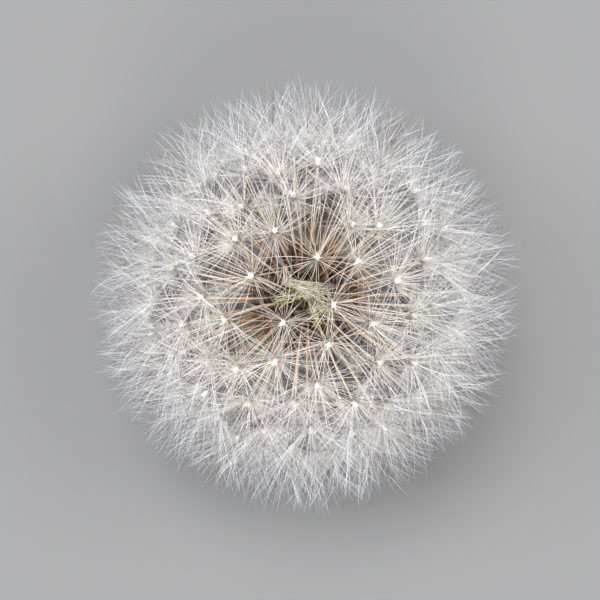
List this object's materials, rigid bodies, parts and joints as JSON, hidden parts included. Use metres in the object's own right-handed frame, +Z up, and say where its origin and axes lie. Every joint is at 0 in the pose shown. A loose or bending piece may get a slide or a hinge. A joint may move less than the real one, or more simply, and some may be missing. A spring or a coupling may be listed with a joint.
{
  "type": "dandelion seed head",
  "caption": "Ripe dandelion seed head: a round puff of seeds on thin beaks, each with a star of white bristles, over turned-down green bracts and a short stub of hollow stem.",
  "frame": {"origin": "the middle of the underside, where the stem's axis meets the surface that the head stands on", "axes": "+Z runs up the stem to the crown of the head; X and Y are any two level directions, because the head is round"},
  "size_m": [0.0444, 0.0443, 0.0425],
  "materials": {
    "pappus": "matt white plant fibre, with tan beaks and brown seeds",
    "beak": "smooth dry stalk, tan below and white above",
    "achene": "dull ribbed brown seed with small spines",
    "receptacle": "pitted pale green skin",
    "inner_bracts": "matt green leaf with a dry brown tip",
    "outer_bracts": "matt dull green leaf, drying",
    "scape": "smooth pale green stem, a little waxy"
  },
  "bodies": {
    "root": {"seed_head": "pappus", "inner_bracts": "inner_bracts", "outer_bracts": "outer_bracts", "scape": "scape"}
  },
  "joints": []
}
